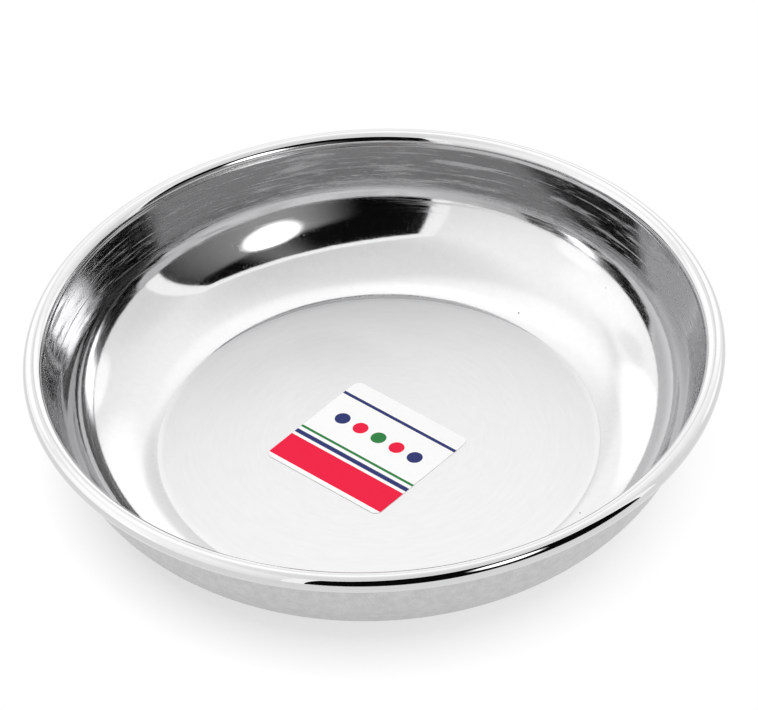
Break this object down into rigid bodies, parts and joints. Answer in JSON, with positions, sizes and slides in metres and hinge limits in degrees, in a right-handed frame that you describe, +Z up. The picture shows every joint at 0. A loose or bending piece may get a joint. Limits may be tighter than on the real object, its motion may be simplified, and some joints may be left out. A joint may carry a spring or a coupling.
{
  "type": "pudding plate",
  "caption": "Round polished steel pudding plate with a flat base, a rounded knee, a steep wall, a rolled hollow rim and a plain label stuck to the base.",
  "frame": {"origin": "middle of the flat underside of the base, on the surface that the plate stands on", "axes": "+Z up along the axis that the dish is turned on, -Y towards the viewer of the picture, +X to the viewer's right"},
  "size_m": [0.18, 0.18, 0.0345],
  "materials": {
    "steel": "polished inside, drawn satin outside",
    "adhesive": "clear pressure-sensitive adhesive",
    "printed_film": "gloss printed film"
  },
  "bodies": {
    "root": {"dish": "steel", "label_adhesive": "adhesive", "label_film": "printed_film"}
  },
  "joints": []
}
